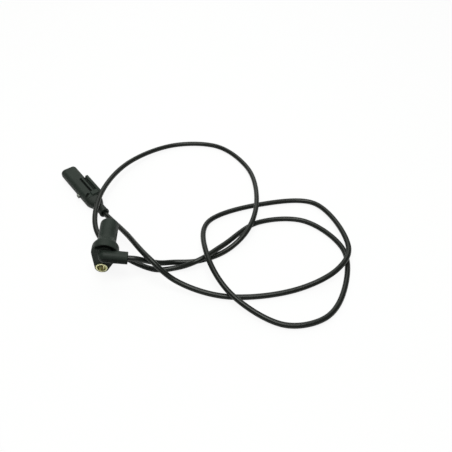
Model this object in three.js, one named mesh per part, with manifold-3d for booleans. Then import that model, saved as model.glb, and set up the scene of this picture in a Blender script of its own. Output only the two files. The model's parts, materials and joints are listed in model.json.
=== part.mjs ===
// ABS wheel speed sensor with its lead and two-pin plug. Millimetres, +Z up, lying on the surface z 0.
// The origin is under the middle of the sensor head; the head's nose points along +Y.
import * as THREE from 'three';
import { mergeVertices } from 'three/addons/utils/BufferGeometryUtils.js';
import Module from 'manifold-3d';

const wasm = await Module();
wasm.setup();

// Driving dimensions shared by all pieces
const FIT_GAP = 0.3;
const OVERCUT = 2;
const ROUND_SIDES = 48;
const SMALL_SIDES = 24;

// Cord and its two cores
const CORD_DIAMETER = 5.2;
const CORD_SIDES = 12;
const CORD_STEPS = 80;
const CORE_DIAMETER = 1.6;
const CONDUCTOR_DIAMETER = 0.7;

// Sensor head: barrel, collar and flange ear, measured from the plate's rear face towards the nose
const NOSE_DIAMETER = 17.4;
const NOSE_LENGTH = 39.2;
const NOSE_EDGE_RADIUS = 1.6;
const COLLAR_DIAMETER = 25;
const COLLAR_EDGE_RADIUS = 1.6;
const FLARE_LENGTH = 9.2;
const FLANGE_THICKNESS = 8;
const EAR_RADIUS = 7;
const EAR_OFFSET = 19.2;
const BOSS_RADIUS = 6.6;
const BOSS_HEIGHT = 0.8;
const HOLLOW_RIM = 1.3;
const HOLLOW_WALL = 1;
const HOLLOW_DEPTH = 3.4;
const HOLLOW_FROM = THREE.MathUtils.degToRad(18);
const HOLLOW_TO = THREE.MathUtils.degToRad(152);
const HEAD_ROLL = THREE.MathUtils.degToRad(17.1);
const NOSE_WALL = 1;

// Mounting bushing for an M8 bolt
const BUSHING_OUTER_DIAMETER = 11.3;
const BUSHING_BORE = 8.3;
const BUSHING_PROUD = 0.3;
const BUSHING_CHAMFER = 0.4;

// Cable outlet, square to the barrel
const OUTLET_DIAMETER = 11.8;
const OUTLET_LENGTH = 21.2;
const OUTLET_SETBACK = 2.9;
const OUTLET_RISE = THREE.MathUtils.degToRad(8.1);
const OUTLET_GRIP = 12;
const OUTLET_STRAIGHT = 7;

// Pieces inside the nose
const POCKET_DIAMETER = 13;
const POCKET_START = 3;
const PASSAGE_DIAMETER = 6.8;
const PASSAGE_HEIGHT = 1.2;
const PASSAGE_START = 0.9;
const DECK_HEIGHT = 2.6;
const TROUGH_DEPTH = 0.75;
const CRIMP_REGION_LENGTH = 14;
const MAGNET_SIZE = new THREE.Vector3(5, 4.5, 5);
const CHIP_SIZE = new THREE.Vector3(5.2, 1.5, 4.2);
const CHIP_TO_MAGNET = 1;
const LEAD_PITCH = 2.54;
const LEAD_WIDTH = 0.6;
const LEAD_THICKNESS = 0.4;
const CRIMP_DIAMETER = 1.9;
const CRIMP_BORE = 1.3;
const CRIMP_LENGTH = 5;
const CRIMP_START = 9;

// Connector housing, measured from its front rim towards the cord
const PLUG_WIDTH = 18;
const PLUG_HEIGHT = 12;
const PLUG_CORNER = 5;
const PLUG_LENGTH = 59;
const PLUG_EDGE = 0.6;
const PLUG_SIDE_WALL = 1.3;
const PLUG_TOP_WALL = 2;
const SOCKET_DEPTH = 22;
const PLUG_TURN = THREE.MathUtils.degToRad(35.3);
const PLUG_FRONT = new THREE.Vector3(-65.9, 128.6, 0);
const GROOVE_DEPTH = 1.4;
const GROOVE_SPANS = [[1.4, 3.3], [5.3, 8.3]];
const GROOVE_START = 25;
const GROOVE_END = 53;

// Latch arm, its thumb pad, the guard rail and the catch recess, moulded in one with the housing
const LATCH_PLACE = 4.3;
const LATCH_WIDTH = 2;
const LATCH_RISE = 0.9;
const PAD_START = 52.4;
const PAD_LENGTH = 6;
const PAD_LEFT = 0.6;
const PAD_RISE = 1.4;
const RAIL_OUTER = 12.3;
const RAIL_THICKNESS = 3.6;
const RAIL_CORNER = 1.2;
const RAIL_BOTTOM = 5.4;
const RAIL_HEIGHT = 6.6;
const RAIL_START = 23.6;
const RECESS_PLACE = -3.9;
const RECESS_MIDDLE = 54.6;
const RECESS_WIDTH = 2.7;
const RECESS_LENGTH = 6.4;
const RECESS_DEPTH = 1.4;
const RECESS_TURN = 37;

// Terminals, their holder, the lock and the seals
const TERMINAL_PITCH = 5.8;
const PIN_DIAMETER = 1.5;
const PIN_REACH = 8;
const TERMINAL_BODY_DIAMETER = 2.8;
const HOLDER_END = 46;
const SEAL_DIAMETER = 4;
const SEAL_LENGTH = 7;
const LOCK_CENTRE = 43.6;
const LOCK_LENGTH = 4.2;
const LOCK_HEIGHT = 2.8;
const LOCK_PROUD = 2;
const LOCK_REACH = 1.6;

// Strain relief boot: a dome that closes the housing and a round neck round the cord
const DOME_LENGTH = 13.5;
const NECK_DIAMETER = 10.5;
const NECK_LENGTH = 12;
const NECK_EDGE = 1;
const BOOT_CAVITY_RADIUS = 4.2;
const BOOT_GRIP = 18;

// Cord route from the outlet to the boot, points chosen by eye on the laid loops
const ROUTE = [
  [43, -14.6, 10.4], [56, -9.1, 4.3], [80, -7.1, 3.1], [107.6, 5.3, 3.4], [128.5, 25.4, 8.9], [141.3, 66, 9.7],
  [136, 132.5, 3.5], [102.5, 174.5, 3.3], [50.3, 178.5, 3.6], [-0.8, 136.8, 10], [-23.6, 72, 14.6],
  [-15.8, 19, 12.8], [35.5, -15.6, 3.5], [60.5, -15, 3.5], [81, -11.4, 9.2], [104, 8.6, 7.1], [142.2, 43.3, 3.3],
  [189.5, 43.1, 3.3], [221.8, 2.7, 3.2], [211.3, -51, 3.2], [190, -77.4, 3.2], [154, -82.9, 3.4],
  [110.2, -53.3, 9.2], [88.9, -11.7, 16], [90.9, 44.6, 5.3], [146, 70.2, 3.4], [203.4, 70.1, 3.2], [225.5, 0, 9.2],
  [210, -26.5, 8.4], [168.4, -45.6, 3.4], [105, -51.1, 3.8], [60.6, -38, 11.5], [35.6, -21.4, 25.8], [9.7, 21, 14.8],
];

// Colours and finishes
const FINISHES = {
  blackPlastic: { color: 0x3a3e3a, roughness: 0.55, metalness: 0 },
  brass: { color: 0xb4a878, roughness: 0.35, metalness: 1 },
  carrierPlastic: { color: 0xc9b98a, roughness: 0.6, metalness: 0 },
  magnet: { color: 0x6a6c70, roughness: 0.4, metalness: 0.9 },
  chip: { color: 0x1c1c1e, roughness: 0.5, metalness: 0 },
  tinned: { color: 0xb9bcc0, roughness: 0.3, metalness: 1 },
  redCore: { color: 0x8a2320, roughness: 0.6, metalness: 0 },
  blueCore: { color: 0x2a3d6e, roughness: 0.6, metalness: 0 },
  cordSheath: { color: 0x262826, roughness: 0.4, metalness: 0 },
  bootRubber: { color: 0x323532, roughness: 0.65, metalness: 0 },
  paleLock: { color: 0xc8cac4, roughness: 0.5, metalness: 0 },
  holderPlastic: { color: 0x4a4d4b, roughness: 0.6, metalness: 0 },
  sealRubber: { color: 0x6b7d57, roughness: 0.7, metalness: 0 },
};
const CORE_FINISHES = [FINISHES.redCore, FINISHES.blueCore];
const SIDES = [-1, 1];

// Solids: a closed geometry becomes a manifold, and back
function solid(geometry) {
  const bare = geometry.clone();
  bare.deleteAttribute('normal');
  bare.deleteAttribute('uv');
  const merged = mergeVertices(bare, 1e-4);
  return new wasm.Manifold(new wasm.Mesh({
    numProp: 3,
    vertProperties: new Float32Array(merged.attributes.position.array),
    triVerts: new Uint32Array(merged.index.array),
  }));
}

function join(...solids) {
  return solids.reduce((all, one) => all.add(one));
}

function cut(body, ...tools) {
  return tools.reduce((left, tool) => left.subtract(tool), body);
}

function piece(name, manifold, finish, parent) {
  const mesh = manifold.getMesh();
  const geometry = new THREE.BufferGeometry();
  geometry.setAttribute('position', new THREE.BufferAttribute(new Float32Array(mesh.vertProperties), 3));
  geometry.setIndex(new THREE.BufferAttribute(new Uint32Array(mesh.triVerts), 1));
  geometry.computeVertexNormals();
  const made = new THREE.Mesh(geometry, new THREE.MeshStandardMaterial(finish));
  made.name = name;
  parent.add(made);
  return made;
}

// Simple forms
function box(xMin, xMax, yMin, yMax, zMin, zMax) {
  const geometry = new THREE.BoxGeometry(xMax - xMin, yMax - yMin, zMax - zMin);
  geometry.translate((xMin + xMax) / 2, (yMin + yMax) / 2, (zMin + zMax) / 2);
  return solid(geometry);
}

function rodAlongY(radius, yMin, yMax, x = 0, z = 0, sides = SMALL_SIDES) {
  const geometry = new THREE.CylinderGeometry(radius, radius, yMax - yMin, sides);
  geometry.translate(x, (yMin + yMax) / 2, z);
  return solid(geometry);
}

// A shape drawn in X and Z, extruded along Y between two values, its edges rounded where asked
function plateAlongY(shape, yMin, yMax, edge = 0, curveSegments = 12) {
  const geometry = new THREE.ExtrudeGeometry(shape, {
    depth: yMax - yMin - 2 * edge,
    bevelEnabled: edge > 0,
    bevelThickness: edge,
    bevelSize: edge,
    bevelOffset: -edge,
    bevelSegments: 3,
    curveSegments,
  });
  geometry.rotateX(Math.PI / 2);
  geometry.translate(0, yMax - edge, 0);
  return solid(geometry);
}

function roundedOval(width, height, corner, zCentre) {
  const shape = new THREE.Shape();
  const right = width / 2 - corner;
  const top = height / 2 - corner;
  shape.absarc(right, zCentre + top, corner, 0, Math.PI / 2);
  shape.absarc(-right, zCentre + top, corner, Math.PI / 2, Math.PI);
  shape.absarc(-right, zCentre - top, corner, Math.PI, Math.PI * 1.5);
  shape.absarc(right, zCentre - top, corner, Math.PI * 1.5, Math.PI * 2);
  return shape;
}

// A profile of [radius, place] points, turned round the Y axis, with rounded outer edges as arcs
function edgeArc(radius, place, edge, from, to, steps = 4) {
  const arc = new THREE.EllipseCurve(radius - edge, place, edge, edge, from, to);
  return arc.getPoints(steps);
}

function turned(points, sides = ROUND_SIDES) {
  return solid(new THREE.LatheGeometry(points, sides));
}

function tube(curve, radius, steps, sides) {
  const section = new THREE.Shape();
  for (let i = 0; i < sides; i += 1) {
    const angle = (2 * Math.PI * i) / sides;
    const x = radius * Math.cos(angle);
    const y = radius * Math.sin(angle);
    if (i === 0) section.moveTo(x, y);
    else section.lineTo(x, y);
  }
  section.closePath();
  return solid(new THREE.ExtrudeGeometry(section, { steps, extrudePath: curve, bevelEnabled: false }));
}

// The outlet's axis in the head's frame
const OUTLET_DIRECTION = new THREE.Vector3(Math.cos(OUTLET_RISE), 0, Math.sin(OUTLET_RISE));

function onOutletAxis(distance) {
  return OUTLET_DIRECTION.clone().multiplyScalar(distance).add(new THREE.Vector3(0, -OUTLET_SETBACK, 0));
}

function outletRod(radius, from, to) {
  const geometry = new THREE.CylinderGeometry(radius, radius, to - from, SMALL_SIDES);
  geometry.rotateZ(-Math.PI / 2);
  geometry.translate((from + to) / 2, 0, 0);
  geometry.rotateY(-OUTLET_RISE);
  geometry.translate(0, -OUTLET_SETBACK, 0);
  return solid(geometry);
}

// Sensor housing
function barrelProfile() {
  const nose = NOSE_DIAMETER / 2;
  const collar = COLLAR_DIAMETER / 2;
  const flareStart = FLANGE_THICKNESS;
  const flareEnd = FLANGE_THICKNESS + FLARE_LENGTH;
  const flareCurve = new THREE.CubicBezierCurve(
    new THREE.Vector2(collar, flareStart),
    new THREE.Vector2(collar - FLARE_LENGTH / 4, flareStart + FLARE_LENGTH / 3),
    new THREE.Vector2(nose, flareEnd - FLARE_LENGTH / 3),
    new THREE.Vector2(nose, flareEnd),
  );
  return [
    new THREE.Vector2(0, 0),
    ...edgeArc(collar, COLLAR_EDGE_RADIUS, COLLAR_EDGE_RADIUS, -Math.PI / 2, 0),
    ...flareCurve.getPoints(6),
    ...edgeArc(nose, NOSE_LENGTH - NOSE_EDGE_RADIUS, NOSE_EDGE_RADIUS, 0, Math.PI / 2),
    new THREE.Vector2(0, NOSE_LENGTH),
  ];
}

function earShape() {
  const collar = COLLAR_DIAMETER / 2;
  const lean = Math.asin((collar - EAR_RADIUS) / EAR_OFFSET);
  const shape = new THREE.Shape();
  shape.absarc(0, 0, collar, -lean, Math.PI + lean);
  shape.absarc(0, -EAR_OFFSET, EAR_RADIUS, Math.PI + lean, 2 * Math.PI - lean);
  return shape;
}

function headCavity() {
  const pocketEnd = NOSE_LENGTH - NOSE_WALL;
  return join(
    rodAlongY(POCKET_DIAMETER / 2, POCKET_START, pocketEnd, 0, 0, ROUND_SIDES),
    rodAlongY(PASSAGE_DIAMETER / 2, PASSAGE_START, POCKET_START + OVERCUT, 0, PASSAGE_HEIGHT),
    rodAlongY(CORD_DIAMETER / 2 + FIT_GAP, -OUTLET_SETBACK, PASSAGE_START + FIT_GAP),
    outletRod(CORD_DIAMETER / 2 + FIT_GAP, 0, OUTLET_LENGTH + OVERCUT),
  );
}

// The lightening hollow behind the collar, an arc over the outlet between the pocket's wall and the rim
function collarHollow() {
  const inner = POCKET_DIAMETER / 2 + HOLLOW_WALL;
  const outer = COLLAR_DIAMETER / 2 - HOLLOW_RIM;
  const shape = new THREE.Shape();
  shape.absarc(0, 0, outer, HOLLOW_FROM, HOLLOW_TO, false);
  shape.absarc(0, 0, inner, HOLLOW_TO, HOLLOW_FROM, true);
  return plateAlongY(shape, -OVERCUT, HOLLOW_DEPTH);
}

function sensorHousing() {
  const boss = rodAlongY(BOSS_RADIUS, -BOSS_HEIGHT, FLANGE_THICKNESS / 2, 0, -EAR_OFFSET, ROUND_SIDES);
  const outletEnd = new THREE.SphereGeometry(OUTLET_DIAMETER / 2, SMALL_SIDES, SMALL_SIDES / 2);
  outletEnd.translate(0, -OUTLET_SETBACK, 0);
  const plate = plateAlongY(earShape(), 0, FLANGE_THICKNESS, COLLAR_EDGE_RADIUS / 2);
  const body = join(
    cut(join(turned(barrelProfile()), plate), collarHollow()),
    boss,
    outletRod(OUTLET_DIAMETER / 2, 0, OUTLET_LENGTH),
    solid(outletEnd),
  );
  const seatRadius = BUSHING_OUTER_DIAMETER / 2 + FIT_GAP;
  const seatFrom = -BOSS_HEIGHT - OVERCUT;
  const seatTo = FLANGE_THICKNESS + OVERCUT;
  const seat = rodAlongY(seatRadius, seatFrom, seatTo, 0, -EAR_OFFSET, ROUND_SIDES);
  return cut(body, headCavity(), seat);
}

function mountingBushing() {
  const outer = BUSHING_OUTER_DIAMETER / 2;
  const bore = BUSHING_BORE / 2;
  const rear = -BOSS_HEIGHT - BUSHING_PROUD;
  const front = FLANGE_THICKNESS + BUSHING_PROUD;
  const c = BUSHING_CHAMFER;
  const ring = [
    [bore, rear + c], [bore + c, rear], [outer - c, rear], [outer, rear + c],
    [outer, front - c], [outer - c, front], [bore + c, front], [bore, front - c], [bore, rear + c],
  ];
  const geometry = new THREE.LatheGeometry(ring.map(([r, y]) => new THREE.Vector2(r, y)), ROUND_SIDES);
  geometry.translate(0, 0, -EAR_OFFSET);
  return solid(geometry);
}

// Nose electronics, all placed from the pocket and the deck of the carrier
const CARRIER_START = POCKET_START + FIT_GAP;
const CARRIER_END = NOSE_LENGTH - NOSE_WALL - FIT_GAP;
const CHIP_FRONT = CARRIER_END - FIT_GAP;
const MAGNET_FRONT = CHIP_FRONT - CHIP_SIZE.y - CHIP_TO_MAGNET;
const LEAD_HEIGHT = DECK_HEIGHT + FIT_GAP + LEAD_THICKNESS / 2;
const CRIMP_END = CRIMP_START + CRIMP_LENGTH;

function blockBelowDeck(size, front) {
  const half = size.x / 2;
  return box(-half, half, front - size.y, front, DECK_HEIGHT - size.z, DECK_HEIGHT);
}

function pocketBelowDeck(size, front, openFront) {
  const half = size.x / 2 + FIT_GAP;
  const end = front + (openFront ? OVERCUT : FIT_GAP);
  const floor = DECK_HEIGHT - size.z - FIT_GAP;
  return box(-half, half, front - size.y - FIT_GAP, end, floor, DECK_HEIGHT + OVERCUT);
}

function chipCarrier() {
  const wide = POCKET_DIAMETER;
  const troughEnd = CARRIER_START + CRIMP_REGION_LENGTH;
  return cut(
    rodAlongY(POCKET_DIAMETER / 2 - FIT_GAP, CARRIER_START, CARRIER_END, 0, 0, ROUND_SIDES),
    box(-wide, wide, CARRIER_START - OVERCUT, CARRIER_END + OVERCUT, DECK_HEIGHT, wide),
    box(-wide, wide, CARRIER_START - OVERCUT, troughEnd, DECK_HEIGHT - TROUGH_DEPTH, wide),
    pocketBelowDeck(MAGNET_SIZE, MAGNET_FRONT, false),
    pocketBelowDeck(CHIP_SIZE, CHIP_FRONT, true),
  );
}

function chipLead(side) {
  const x = (side * LEAD_PITCH) / 2;
  const half = LEAD_WIDTH / 2;
  const rear = CRIMP_END - CRIMP_LENGTH / 2 + FIT_GAP;
  const front = CHIP_FRONT - CHIP_SIZE.y / 2;
  const bottom = LEAD_HEIGHT - LEAD_THICKNESS / 2;
  return box(x - half, x + half, rear, front, bottom, bottom + LEAD_THICKNESS);
}

function crimp(side) {
  const x = (side * LEAD_PITCH) / 2;
  const sleeve = rodAlongY(CRIMP_DIAMETER / 2, CRIMP_START, CRIMP_END, x, LEAD_HEIGHT);
  const bore = rodAlongY(CRIMP_BORE / 2, CRIMP_START - OVERCUT, CRIMP_END + OVERCUT, x, LEAD_HEIGHT);
  return cut(sleeve, bore);
}

function headCore(side) {
  const x = (side * LEAD_PITCH) / 2;
  const coreRadius = CORE_DIAMETER / 2;
  const start = CRIMP_START - FIT_GAP;
  const spread = coreRadius + FIT_GAP / 2;
  const end = onOutletAxis(OUTLET_LENGTH - OUTLET_GRIP - FIT_GAP);
  const turn = onOutletAxis(PASSAGE_DIAMETER / 2);
  const y = -OUTLET_SETBACK + side * spread;
  const curve = new THREE.CatmullRomCurve3([
    new THREE.Vector3(x, start, LEAD_HEIGHT),
    new THREE.Vector3(x, CARRIER_START - FIT_GAP, LEAD_HEIGHT),
    new THREE.Vector3(x, PASSAGE_START - FIT_GAP, FIT_GAP),
    new THREE.Vector3(turn.x, y, turn.z),
    new THREE.Vector3(end.x, y, end.z),
  ]);
  const baredEnd = CRIMP_START + CRIMP_LENGTH / 2 - FIT_GAP;
  const bared = rodAlongY(CONDUCTOR_DIAMETER / 2, start - FIT_GAP, baredEnd, x, LEAD_HEIGHT, 8);
  return join(tube(curve, coreRadius, 20, 8), bared);
}

const head = new THREE.Group();
const headParts = new THREE.Group();
head.add(headParts);
piece('sensor_housing', sensorHousing(), FINISHES.blackPlastic, headParts);
piece('mounting_bushing', mountingBushing(), FINISHES.brass, headParts);
piece('chip_carrier', chipCarrier(), FINISHES.carrierPlastic, headParts);
piece('bias_magnet', blockBelowDeck(MAGNET_SIZE, MAGNET_FRONT), FINISHES.magnet, headParts);
piece('sensing_chip', blockBelowDeck(CHIP_SIZE, CHIP_FRONT), FINISHES.chip, headParts);
SIDES.forEach((side, i) => {
  piece(`chip_lead_${i + 1}`, chipLead(side), FINISHES.tinned, headParts);
  piece(`core_crimp_${i + 1}`, crimp(side), FINISHES.tinned, headParts);
  piece(`head_core_wire_${i + 1}`, headCore(side), CORE_FINISHES[i], headParts);
});

// The head lies rolled on its ear; its box is centred over the origin and touches the surface
headParts.rotation.y = HEAD_ROLL;
head.updateMatrixWorld(true);
const headBox = new THREE.Box3().setFromObject(head, true);
const headCentre = headBox.getCenter(new THREE.Vector3());
head.position.set(-headCentre.x, -headCentre.y, -headBox.min.z);
head.updateMatrixWorld(true);

// Plug pieces, in a frame whose +Y runs from the cord to the front rim
const plugMiddle = PLUG_HEIGHT / 2;
const cavityWidth = PLUG_WIDTH - 2 * PLUG_SIDE_WALL;
const cavityHeight = PLUG_HEIGHT - 2 * PLUG_TOP_WALL;
const cavityCorner = PLUG_CORNER - PLUG_TOP_WALL;

// A box given by distances back from the front rim
function plugBox(xMin, xMax, from, to, zMin, zMax) {
  return box(xMin, xMax, -to, -from, zMin, zMax);
}

function plugRod(radius, from, to, x, sides = SMALL_SIDES) {
  return rodAlongY(radius, -to, -from, x, plugMiddle, sides);
}

function latchAndRail() {
  const body = PLUG_HEIGHT;
  const armLeft = LATCH_PLACE - LATCH_WIDTH / 2;
  const root = body - PLUG_TOP_WALL;
  const armEnd = PAD_START + PAD_LENGTH / 2;
  const arm = plugBox(armLeft, armLeft + LATCH_WIDTH, GROOVE_START, armEnd, root, body + LATCH_RISE);
  const padRight = PLUG_WIDTH / 2 - PLUG_EDGE;
  const padEnd = PAD_START + PAD_LENGTH;
  const pad = plugBox(PAD_LEFT, padRight, PAD_START, padEnd, root, body + PAD_RISE);
  const railMiddle = RAIL_OUTER - RAIL_THICKNESS / 2;
  const railShape = roundedOval(RAIL_THICKNESS, RAIL_HEIGHT, RAIL_CORNER, RAIL_BOTTOM + RAIL_HEIGHT / 2);
  const railEnd = padEnd;
  const rail = plateAlongY(railShape, -railEnd, -RAIL_START, PLUG_EDGE, 4).translate([railMiddle, 0, 0]);
  return [arm, pad, rail];
}

function connectorHousing() {
  const outer = roundedOval(PLUG_WIDTH, PLUG_HEIGHT, PLUG_CORNER, plugMiddle);
  const inner = roundedOval(cavityWidth, cavityHeight, cavityCorner, plugMiddle);
  const grooves = GROOVE_SPANS.map(([left, right]) => plugBox(
    left,
    right,
    GROOVE_START,
    GROOVE_END,
    PLUG_HEIGHT - GROOVE_DEPTH,
    PLUG_HEIGHT + OVERCUT,
  ));
  const grooved = cut(plateAlongY(outer, -PLUG_LENGTH, 0, PLUG_EDGE), ...grooves);
  const halfLength = RECESS_LENGTH / 2;
  const halfWidth = RECESS_WIDTH / 2;
  const recess = box(-halfLength, halfLength, -halfWidth, halfWidth, PLUG_HEIGHT - RECESS_DEPTH, PLUG_HEIGHT + OVERCUT)
    .rotate([0, 0, RECESS_TURN])
    .translate([RECESS_PLACE, -RECESS_MIDDLE, 0]);
  const lockHalf = LOCK_LENGTH / 2 + FIT_GAP;
  const lockSlot = plugBox(
    -PLUG_WIDTH,
    -cavityWidth / 2 + PLUG_SIDE_WALL,
    LOCK_CENTRE - lockHalf,
    LOCK_CENTRE + lockHalf,
    plugMiddle - LOCK_HEIGHT / 2 - FIT_GAP,
    plugMiddle + LOCK_HEIGHT / 2 + FIT_GAP,
  );
  const cavity = plateAlongY(inner, -PLUG_LENGTH - OVERCUT, OVERCUT);
  return cut(join(grooved, ...latchAndRail()), cavity, recess, lockSlot);
}

function terminalHolder() {
  const shape = roundedOval(
    cavityWidth - 2 * FIT_GAP,
    cavityHeight - 2 * FIT_GAP,
    cavityCorner - FIT_GAP,
    plugMiddle,
  );
  const sealStart = HOLDER_END - SEAL_LENGTH;
  const bores = SIDES.flatMap((side) => {
    const x = (side * TERMINAL_PITCH) / 2;
    return [
      plugRod(TERMINAL_BODY_DIAMETER / 2 + FIT_GAP, SOCKET_DEPTH - OVERCUT, HOLDER_END, x),
      plugRod(SEAL_DIAMETER / 2 + FIT_GAP, sealStart - FIT_GAP, HOLDER_END + OVERCUT, x),
    ];
  });
  const notch = plugBox(
    -PLUG_WIDTH,
    -cavityWidth / 2 + LOCK_REACH + FIT_GAP,
    LOCK_CENTRE - LOCK_LENGTH / 2 - FIT_GAP,
    LOCK_CENTRE + LOCK_LENGTH / 2 + FIT_GAP,
    plugMiddle - LOCK_HEIGHT / 2 - FIT_GAP,
    plugMiddle + LOCK_HEIGHT / 2 + FIT_GAP,
  );
  return cut(plateAlongY(shape, -HOLDER_END, -SOCKET_DEPTH), ...bores, notch);
}

function terminalLock() {
  const left = -PLUG_WIDTH / 2 - LOCK_PROUD;
  const right = -cavityWidth / 2 + LOCK_REACH;
  const from = LOCK_CENTRE - LOCK_LENGTH / 2;
  const bottom = plugMiddle - LOCK_HEIGHT / 2;
  return plugBox(left, right, from, from + LOCK_LENGTH, bottom, bottom + LOCK_HEIGHT);
}

function terminal(side) {
  const x = (side * TERMINAL_PITCH) / 2;
  const sealStart = HOLDER_END - SEAL_LENGTH;
  const pinRadius = PIN_DIAMETER / 2;
  return join(
    plugRod(pinRadius, PIN_REACH, SOCKET_DEPTH + OVERCUT, x),
    plugRod(TERMINAL_BODY_DIAMETER / 2, SOCKET_DEPTH, sealStart - 2 * FIT_GAP, x),
  );
}

function wireSeal(side) {
  const x = (side * TERMINAL_PITCH) / 2;
  const from = HOLDER_END - SEAL_LENGTH;
  const ring = plugRod(SEAL_DIAMETER / 2, from, HOLDER_END, x);
  return cut(ring, plugRod(CORE_DIAMETER / 2 + FIT_GAP, from - OVERCUT, HOLDER_END + OVERCUT, x));
}

const BOOT_START = PLUG_LENGTH + FIT_GAP;
const NECK_START = PLUG_LENGTH + DOME_LENGTH;
const BOOT_END = NECK_START + NECK_LENGTH;
const SHEATH_START = BOOT_END - BOOT_GRIP;

function plugCore(side) {
  const x = (side * TERMINAL_PITCH) / 2;
  const spread = CORE_DIAMETER / 2 + FIT_GAP / 2;
  const from = HOLDER_END - SEAL_LENGTH;
  const straightEnd = HOLDER_END + CORE_DIAMETER;
  const curve = new THREE.CatmullRomCurve3([
    new THREE.Vector3(x, -from, plugMiddle),
    new THREE.Vector3(x, -straightEnd, plugMiddle),
    new THREE.Vector3(side * spread, -SHEATH_START + CORD_DIAMETER, plugMiddle),
    new THREE.Vector3(side * spread, -SHEATH_START + FIT_GAP, plugMiddle),
  ]);
  return tube(curve, CORE_DIAMETER / 2, 12, 8);
}

// The dome's turned form is pressed flat towards the housing, where it takes the housing's height
function strainReliefBoot() {
  const neck = NECK_DIAMETER / 2;
  const wide = PLUG_WIDTH / 2;
  const dome = new THREE.CubicBezierCurve(
    new THREE.Vector2(neck, -NECK_START),
    new THREE.Vector2(neck, -NECK_START + DOME_LENGTH / 4),
    new THREE.Vector2(wide, -BOOT_START - DOME_LENGTH / 2),
    new THREE.Vector2(wide, -BOOT_START),
  );
  const profile = [
    new THREE.Vector2(0, -BOOT_END),
    ...edgeArc(neck, -BOOT_END + NECK_EDGE, NECK_EDGE, -Math.PI / 2, 0),
    ...dome.getPoints(10),
    new THREE.Vector2(0, -BOOT_START),
  ];
  const geometry = new THREE.LatheGeometry(profile, ROUND_SIDES);
  const points = geometry.attributes.position;
  for (let i = 0; i < points.count; i += 1) {
    const along = (points.getY(i) + NECK_START) / (NECK_START - BOOT_START);
    const ringRadius = Math.hypot(points.getX(i), points.getZ(i));
    if (along > 0 && ringRadius > 0) {
      const halfHeight = THREE.MathUtils.lerp(neck, PLUG_HEIGHT / 2, THREE.MathUtils.smoothstep(along, 0, 1));
      points.setZ(i, (points.getZ(i) * halfHeight) / ringRadius);
    }
  }
  geometry.translate(0, 0, plugMiddle);
  const funnel = turned([
    new THREE.Vector2(0, -SHEATH_START - OVERCUT),
    new THREE.Vector2(CORD_DIAMETER / 2 + FIT_GAP, -SHEATH_START - OVERCUT),
    new THREE.Vector2(CORD_DIAMETER / 2 + FIT_GAP, -SHEATH_START),
    new THREE.Vector2(BOOT_CAVITY_RADIUS, -BOOT_START),
    new THREE.Vector2(BOOT_CAVITY_RADIUS, -BOOT_START + OVERCUT),
    new THREE.Vector2(0, -BOOT_START + OVERCUT),
  ], SMALL_SIDES).translate([0, 0, plugMiddle]);
  const cordBore = plugRod(CORD_DIAMETER / 2 + FIT_GAP, SHEATH_START, BOOT_END + OVERCUT, 0);
  return cut(solid(geometry), funnel, cordBore);
}

const plug = new THREE.Group();
plug.position.copy(PLUG_FRONT);
plug.rotation.z = PLUG_TURN;
piece('connector_housing', connectorHousing(), FINISHES.blackPlastic, plug);
piece('terminal_holder', terminalHolder(), FINISHES.holderPlastic, plug);
piece('terminal_lock', terminalLock(), FINISHES.paleLock, plug);
piece('strain_relief_boot', strainReliefBoot(), FINISHES.bootRubber, plug);
SIDES.forEach((side, i) => {
  piece(`terminal_pin_${i + 1}`, terminal(side), FINISHES.tinned, plug);
  piece(`wire_seal_${i + 1}`, wireSeal(side), FINISHES.sealRubber, plug);
  piece(`plug_core_wire_${i + 1}`, plugCore(side), CORE_FINISHES[i], plug);
});
plug.updateMatrixWorld(true);

// The cord runs from inside the outlet, along its route, into the boot
function cordCurve() {
  const sheathStart = OUTLET_LENGTH - OUTLET_GRIP;
  const inHead = [sheathStart, OUTLET_LENGTH, OUTLET_LENGTH + OUTLET_STRAIGHT]
    .map((distance) => headParts.localToWorld(onOutletAxis(distance)));
  const inPlug = [BOOT_END + CORD_DIAMETER / 2, BOOT_END - NECK_LENGTH / 2, SHEATH_START]
    .map((distance) => plug.localToWorld(new THREE.Vector3(0, -distance, plugMiddle)));
  const between = ROUTE.map((point) => new THREE.Vector3(...point));
  return new THREE.CatmullRomCurve3([...inHead, ...between, ...inPlug]);
}

const sensor = new THREE.Group();
sensor.add(head, plug);
piece('cable', tube(cordCurve(), CORD_DIAMETER / 2, CORD_STEPS, CORD_SIDES), FINISHES.cordSheath, sensor);

export default sensor;
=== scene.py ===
# %% [markdown]
# # A wheel speed sensor on a white table
# A wheel speed sensor is a small moulded head, a long round lead and a plug. The construction arrives
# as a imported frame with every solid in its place, in metres. This notebook gives it its surfaces: the
# cord first, then the moulded head, the plug and the small pieces, each with a finish of its own.

# %% Load the frame
import json
import math

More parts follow.
